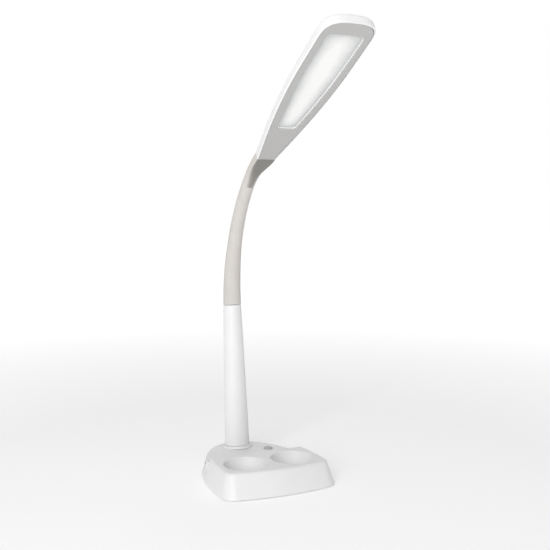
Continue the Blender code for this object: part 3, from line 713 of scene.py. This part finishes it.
def make_lens(look):
    """The frosted diffuser: a plate behind the opening with a slightly bowed face."""
    rings = []
    steps = 14
    for step in range(steps + 1):
        share = step / steps
        inset = LIP_WALL + 0.02 + share * 8.0
        bow = 0.35 * (1 - (1 - share) ** 2)
        rings.append([(x, y, LENS_LOW - bow) for x, y in lens_outline(inset)])
    rings.reverse()
    flange = -2.5
    rings.append([(x, y, LENS_LOW) for x, y in lens_outline(flange)])
    rings.append([(x, y, LENS_LOW + LENS_THICK) for x, y in lens_outline(flange)])
    lens = object_from("lens_panel", skin(rings), look)
    lens.matrix_world = in_metres(head_frame())
    return carry(lens, "head", "frosted_diffuser", "diffuser_lens")


def collar_rings(inset, steps=40):
    """Rings from the round neck to the head's flat section, along a smooth curve."""
    start = neck_point(NECK_LENGTH)
    start_angle = neck_angle(NECK_LENGTH)
    end = head_frame() @ Vector((0.0, -HEAD_START + GAP, HEAD_THICK / 2))
    end_angle = math.pi / 2 - HEAD_RISE
    reach = (end - start).length
    leave = Vector((0.0, -math.sin(start_angle), math.cos(start_angle))) * reach
    arrive = Vector((0.0, -math.sin(end_angle), math.cos(end_angle))) * reach
    neck_half = NECK_RADII[-1][1]
    rings = []
    for step in range(steps + 1):
        share = step / steps
        ease = share * share * (3 - 2 * share)
        spot = hermite(share, start, leave, end, arrive)
        angle = start_angle + (end_angle - start_angle) * share
        across = neck_half * (1 - ease) + HEAD_ROOT_HALF * ease - inset
        thick = neck_half * (1 - ease) + HEAD_THICK / 2 * ease - inset
        crown = 2.0 + (HEAD_CROWN - 2.0) * ease
        foot = 2.0 + (HEAD_FLAT - 2.0) * ease ** 3
        local = frame_at(spot, angle)
        slim = COLLAR_WAIST * math.sin(math.pi * share) ** 2
        ring = section(across, -thick, thick, crown, foot)
        rings.append([local @ Vector((x, z * (1 - slim) if z < 0 else z, 0.0)) for x, z in ring])
    return rings


def make_collar(look):
    rings = collar_rings(0.0) + list(reversed(collar_rings(HEAD_WALL)))
    collar = object_from("neck_collar", skin(rings, loop=True), look)
    return carry(collar, "head", "taupe_plastic", "head_collar")


# ---------------------------------------------------------------- materials

def principled(name, colour, roughness, metallic=0.0):
    look = bpy.data.materials.new(name)
    look.use_nodes = True
    shader = look.node_tree.nodes["Principled BSDF"]
    shader.inputs["Base Color"].default_value = (*colour, 1.0)
    shader.inputs["Roughness"].default_value = roughness
    shader.inputs["Metallic"].default_value = metallic
    return look, look.node_tree, shader


def noise(tree, scale, detail=3.0, stretch=None):
    """Fractal noise in the object's own coordinates, in features per metre."""
    place = tree.nodes.new("ShaderNodeTexCoord")
    made = tree.nodes.new("ShaderNodeTexNoise")
    made.inputs["Scale"].default_value = scale
    made.inputs["Detail"].default_value = detail
    source = place.outputs["Object"]
    if stretch is not None:
        mapping = tree.nodes.new("ShaderNodeMapping")
        mapping.inputs["Scale"].default_value = stretch
        tree.links.new(source, mapping.inputs["Vector"])
        source = mapping.outputs["Vector"]
    tree.links.new(source, made.inputs["Vector"])
    return made.outputs["Fac"]


def spread(tree, value, low, high, start=0.3, stop=0.7):
    """Map a noise value to a range."""
    made = tree.nodes.new("ShaderNodeMapRange")
    made.inputs["From Min"].default_value = start
    made.inputs["From Max"].default_value = stop
    made.inputs["To Min"].default_value = low
    made.inputs["To Max"].default_value = high
    tree.links.new(value, made.inputs["Value"])
    return made.outputs["Result"]


def blend_colours(tree, share, first, second):
    made = tree.nodes.new("ShaderNodeMix")
    made.data_type = "RGBA"
    colours = [socket for socket in made.inputs if socket.type == "RGBA"]
    for socket, value in zip(colours, (first, second)):
        if isinstance(value, bpy.types.NodeSocket):
            tree.links.new(value, socket)
        else:
            socket.default_value = (*value, 1.0)
    tree.links.new(share, made.inputs[0])
    return [socket for socket in made.outputs if socket.type == "RGBA"][0]


def bump(tree, shader, layers):
    """Stack bump layers given as (height, distance in metres, strength)."""
    normal = None
    for height, distance, strength in layers:
        made = tree.nodes.new("ShaderNodeBump")
        made.inputs["Distance"].default_value = distance
        made.inputs["Strength"].default_value = strength
        tree.links.new(height, made.inputs["Height"])
        if normal is not None:
            tree.links.new(normal, made.inputs["Normal"])
        normal = made.outputs["Normal"]
    tree.links.new(normal, shader.inputs["Normal"])


def shaded(colour, factor):
    return tuple(channel * factor for channel in colour)


def moulded_plastic(name, colour, roughness, grain=1500.0, depth=0.00001, coat=0.0):
    """Moulded plastic: faint clouding, fine spark-eroded grain, handling marks in the gloss."""
    look, tree, shader = principled(name, colour, roughness)
    cloud = spread(tree, noise(tree, 14.0, 4.0), 0.0, 1.0)
    speck = spread(tree, noise(tree, 420.0, 2.0), 0.0, 0.35, 0.55, 0.75)
    base = blend_colours(tree, cloud, colour, shaded(colour, 0.965))
    dusty = blend_colours(tree, speck, base, shaded(colour, 0.93))
    tree.links.new(dusty, shader.inputs["Base Color"])
    tree.links.new(spread(tree, noise(tree, 55.0, 5.0), roughness - 0.05, roughness + 0.07),
                   shader.inputs["Roughness"])
    bump(tree, shader, [(noise(tree, 90.0, 2.0), 0.00015, 0.15), (noise(tree, grain, 3.0), depth, 0.5)])
    shader.inputs["Coat Weight"].default_value = coat
    shader.inputs["Coat Roughness"].default_value = 0.25
    return look


def silicone(name, colour, underside_shade=None):
    """Soft matt sleeve: silky sheen, lint-like mottling and a fine skin texture.

    Given a second colour, the faces that look down and forward, under the collar, are darkened towards it:
    painted shade.
    """
    look, tree, shader = principled(name, colour, 0.55)
    cloud = spread(tree, noise(tree, 30.0, 5.0), 0.0, 1.0)
    lint = spread(tree, noise(tree, 900.0, 2.0, (1.0, 1.0, 0.35)), 0.0, 0.4, 0.55, 0.8)
    base = blend_colours(tree, cloud, colour, shaded(colour, 0.94))
    base = blend_colours(tree, lint, base, shaded(colour, 1.08))
    if underside_shade is not None:
        # painted shade: the more a face looks down and forward, the more it takes the darker colour
        place = tree.nodes.new("ShaderNodeTexCoord")
        facing = tree.nodes.new("ShaderNodeVectorMath")
        facing.operation = "DOT_PRODUCT"
        facing.inputs[1].default_value = (0.0, -math.sin(HEAD_RISE), -math.cos(HEAD_RISE))
        tree.links.new(place.outputs["Normal"], facing.inputs[0])
        under = spread(tree, facing.outputs["Value"], 0.0, 1.0, 0.72, 1.0)
        base = blend_colours(tree, under, base, underside_shade)
    tree.links.new(base, shader.inputs["Base Color"])
    tree.links.new(spread(tree, noise(tree, 70.0, 4.0), 0.48, 0.62), shader.inputs["Roughness"])
    bump(tree, shader, [(noise(tree, 160.0, 3.0), 0.0002, 0.12), (noise(tree, 2200.0, 2.0), 0.00003, 0.45)])
    shader.inputs["Specular IOR Level"].default_value = 0.15
    shader.inputs["Sheen Weight"].default_value = 0.08
    shader.inputs["Sheen Roughness"].default_value = 0.45
    return look


def metal(name, colour, roughness, stretch=(1.0, 1.0, 12.0)):
    """Drawn or plated metal with fine lines along it and uneven gloss."""
    look, tree, shader = principled(name, colour, roughness, 1.0)
    lines = noise(tree, 700.0, 4.0, stretch)
    base = blend_colours(tree, spread(tree, noise(tree, 60.0, 4.0), 0.0, 1.0), colour, shaded(colour, 0.82))
    tree.links.new(base, shader.inputs["Base Color"])
    tree.links.new(spread(tree, lines, roughness - 0.08, roughness + 0.12), shader.inputs["Roughness"])
    bump(tree, shader, [(lines, 0.00004, 0.4)])
    return look


def rubber(name, colour):
    look, tree, shader = principled(name, colour, 0.85)
    base = blend_colours(tree, spread(tree, noise(tree, 200.0, 5.0), 0.0, 1.0), colour, shaded(colour, 1.9))
    tree.links.new(base, shader.inputs["Base Color"])
    tree.links.new(spread(tree, noise(tree, 120.0, 3.0), 0.78, 0.92), shader.inputs["Roughness"])
    bump(tree, shader, [(noise(tree, 1200.0, 4.0), 0.0001, 0.7)])
    return look


def circuit_board(name, colour):
    """Solder mask over a pattern of tracks."""
    look, tree, shader = principled(name, colour, 0.4)
    place = tree.nodes.new("ShaderNodeTexCoord")
    tracks = tree.nodes.new("ShaderNodeTexBrick")
    tracks.inputs["Scale"].default_value = 90.0
    tracks.inputs["Mortar Size"].default_value = 0.03
    tree.links.new(place.outputs["Object"], tracks.inputs["Vector"])
    base = blend_colours(tree, tracks.outputs["Fac"], colour, shaded(colour, 1.6))
    tree.links.new(base, shader.inputs["Base Color"])
    tree.links.new(spread(tree, noise(tree, 80.0), 0.33, 0.5), shader.inputs["Roughness"])
    bump(tree, shader, [(tracks.outputs["Fac"], 0.00005, 0.5)])
    return look


def arithmetic(tree, operation, first, second):
    """A math node over sockets or numbers."""
    made = tree.nodes.new("ShaderNodeMath")
    made.operation = operation
    for socket, value in zip(made.inputs, (first, second)):
        if isinstance(value, bpy.types.NodeSocket):
            tree.links.new(value, socket)
        else:
            socket.default_value = value
    return made.outputs[0]


def diffuser(name, colour, rim_shade_colour, glow):
    """Frosted acrylic in front of a reflector, with painted light and shade: its colour and faint glow fall
    from a bright middle to grey at its rim, the shade of the opening's walls.
    """
    look, tree, shader = principled(name, colour, 0.42)
    place = tree.nodes.new("ShaderNodeTexCoord")
    parts = tree.nodes.new("ShaderNodeSeparateXYZ")
    tree.links.new(place.outputs["Object"], parts.inputs["Vector"])
    near, far = -LENS_START * MM, -LENS_END * MM
    broad = near + (far - near) * 0.6
    near_half = lens_half_width(LENS_START, 0.0) * MM
    broad_half = lens_half_width(LENS_END, 0.0) * MM
    half = spread(tree, parts.outputs["Y"], near_half, broad_half, near, broad)
    across = arithmetic(tree, "DIVIDE", parts.outputs["X"], half)
    along = spread(tree, parts.outputs["Y"], -1.0, 1.0, near, far)
    across_fall = arithmetic(tree, "POWER", arithmetic(tree, "ABSOLUTE", across, 0.0), 1.7)
    along_fall = arithmetic(tree, "POWER", arithmetic(tree, "ABSOLUTE", along, 0.0), 9.0)
    # painted light and shade: a mask that is 1 along the middle and falls to 0 at the rim
    lit = arithmetic(tree, "MULTIPLY", arithmetic(tree, "SUBTRACT", 1.0, across_fall),
                     arithmetic(tree, "SUBTRACT", 1.0, along_fall))
    cloud = spread(tree, noise(tree, 45.0, 3.0), -0.06, 0.06)
    glowing = spread(tree, arithmetic(tree, "ADD", lit, cloud), 0.0, 1.0, 0.05, 0.88)
    frost = spread(tree, noise(tree, 1200.0, 2.0), 0.0, 0.2, 0.5, 0.8)
    # painted shade: the colour greys to the rim colour towards the edges
    base = blend_colours(tree, glowing, rim_shade_colour, colour)
    frosted = blend_colours(tree, frost, base, (0.90, 0.90, 0.89))
    tree.links.new(frosted, shader.inputs["Base Color"])
    # painted light: the glow follows the same mask, brightest along the middle
    tree.links.new(blend_colours(tree, glowing, (0.0, 0.0, 0.0), colour), shader.inputs["Emission Color"])
    shader.inputs["Emission Strength"].default_value = glow
    tree.links.new(spread(tree, noise(tree, 60.0, 3.0), 0.36, 0.5), shader.inputs["Roughness"])
    bump(tree, shader, [(noise(tree, 1600.0, 2.0), 0.00003, 0.4)])
    return look


# ---------------------------------------------------------------- stage

def make_stage():
    floor_mesh = bpy.data.meshes.new("floor")
    reach = 14.0
    corners = [(-reach, -reach, 0.0), (reach, -reach, 0.0), (reach, reach, 0.0), (-reach, reach, 0.0)]
    floor_mesh.from_pydata([(x, y, -0.0004) for x, y, _ in corners], [], [(0, 1, 2, 3)])
    floor = bpy.data.objects.new("floor", floor_mesh)
    bpy.context.scene.collection.objects.link(floor)
    look, tree, shader = principled("studio_floor", (0.93, 0.93, 0.93), 0.7)
    shader.inputs["Specular IOR Level"].default_value = 0.1
    place = tree.nodes.new("ShaderNodeTexCoord")
    away = tree.nodes.new("ShaderNodeVectorMath")
    away.operation = "LENGTH"
    tree.links.new(place.outputs["Object"], away.inputs[0])
    fade = spread(tree, away.outputs["Value"], 0.0, 1.0, 0.5, 2.4)
    lift = blend_colours(tree, fade, (0.30, 0.30, 0.30), (1.0, 1.0, 1.0))
    tree.links.new(lift, shader.inputs["Emission Color"])
    shader.inputs["Emission Strength"].default_value = 0.6
    floor_mesh.materials.append(look)

    world = bpy.data.worlds.new("studio")
    bpy.context.scene.world = world
    world.use_nodes = True
    tree = world.node_tree
    place = tree.nodes.new("ShaderNodeTexCoord")
    facing = tree.nodes.new("ShaderNodeVectorMath")
    facing.operation = "DOT_PRODUCT"
    facing.inputs[1].default_value = (math.sin(CAMERA_TURN), math.cos(CAMERA_TURN), 0.0)
    tree.links.new(place.outputs["Generated"], facing.inputs[0])
    level = spread(tree, facing.outputs["Value"], 0.5, 1.0, 0.78, 0.92)
    tree.links.new(level, tree.nodes["Background"].inputs["Strength"])
    tree.nodes["Background"].inputs["Color"].default_value = (1.0, 1.0, 1.0, 1.0)


def soft_light(name, spot, target, size, power):
    data = bpy.data.lights.new(name, "AREA")
    data.shape = "SQUARE"
    data.size = size
    data.energy = power
    light = bpy.data.objects.new(name, data)
    bpy.context.scene.collection.objects.link(light)
    light.location = spot
    light.rotation_euler = (Vector(target) - Vector(spot)).to_track_quat("-Z", "Y").to_euler()


def make_camera():
    data = bpy.data.cameras.new("camera")
    data.sensor_width = SENSOR
    data.lens = LENS_PIXELS / FRAME_PIXELS * SENSOR
    camera = bpy.data.objects.new("camera", data)
    bpy.context.scene.collection.objects.link(camera)
    camera.location = (
        CAMERA_CENTRE_X - math.sin(CAMERA_TURN) * CAMERA_DISTANCE,
        -math.cos(CAMERA_TURN) * CAMERA_DISTANCE,
        CAMERA_HEIGHT,
    )
    look_along = Vector((
        math.sin(CAMERA_TURN) * math.cos(CAMERA_FALL),
        math.cos(CAMERA_TURN) * math.cos(CAMERA_FALL),
        -math.sin(CAMERA_FALL),
    ))
    camera.rotation_euler = look_along.to_track_quat("-Z", "Y").to_euler()
    bpy.context.scene.camera = camera


# ---------------------------------------------------------------- scene

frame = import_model()

WHITE = (0.83, 0.83, 0.835)
TAUPE = (0.62, 0.593, 0.562)
# grey plastic of the face panel and button, set dark enough to stand for the shade on the head's down-facing
# face: partly painted shade
GREY = (0.475, 0.47, 0.465)
white = moulded_plastic("white_plastic_look", WHITE, 0.46, coat=0.04)
taupe = silicone("taupe_silicone_look", TAUPE)
# the collar's taupe, with painted shade at 0.38 of it on the faces that look down and forward
collar_taupe = silicone("taupe_plastic_look", TAUPE, shaded(TAUPE, 0.38))
grey = moulded_plastic("grey_plastic_look", GREY, 0.5)
dark = moulded_plastic("black_plastic_look", (0.03, 0.03, 0.032), 0.5)
# the diffuser's grey rim colour is painted shade, and its faint glow, brightest along the middle, is painted
# light
lens_look = diffuser("frosted_diffuser_look", (0.80, 0.80, 0.785), (0.52, 0.535, 0.545), 0.12)
# the lining's white, brighter than the diffuser's, is partly frosted acrylic and partly painted light on the
# opening's walls
lit_lip_look = moulded_plastic("frosted_lit_edge_look", (0.92, 0.92, 0.91), 0.4)
steel = metal("steel_look", (0.56, 0.56, 0.57), 0.3)
brass = metal("brass_look", (0.80, 0.62, 0.30), 0.28)
copper = metal("copper_look", (0.72, 0.38, 0.20), 0.35, (1.0, 1.0, 40.0))
pad = rubber("pad_rubber_look", (0.035, 0.035, 0.037))
board = circuit_board("circuit_board_look", (0.02, 0.14, 0.05))

LOOKS = {
    "white_plastic": white,
    "taupe_silicone": taupe,
    "taupe_plastic": collar_taupe,
    "grey_plastic": grey,
    "black_plastic": dark,
    "pad_rubber": pad,
    "steel": steel,
    "circuit_board": board,
    "frosted_diffuser": lens_look,
    "copper_winding": copper,
    "brass_contact": brass,
}
for name, node in frame["nodes"].items():
    for slot in node.material_slots:
        plain = slot.material.name.split(".")[0]
        slot.material = LOOKS[plain]

make_base(white)
make_button(grey)
make_stem(white)
make_sleeve(taupe)
make_collar(collar_taupe)
make_head_shell(white)
make_bezel(grey)
make_lens_lip(lit_lip_look)
make_lens(lens_look)

make_stage()
soft_light("key", (-1.9, -2.15, 1.25), (0.0, 0.0, 0.3), LIGHT_SIZE, KEY_POWER)
soft_light("top", (0.0, -0.3, 2.6), (0.0, 0.0, 0.2), LIGHT_SIZE, TOP_POWER)
make_camera()
bpy.context.scene.view_settings.view_transform = "Standard"
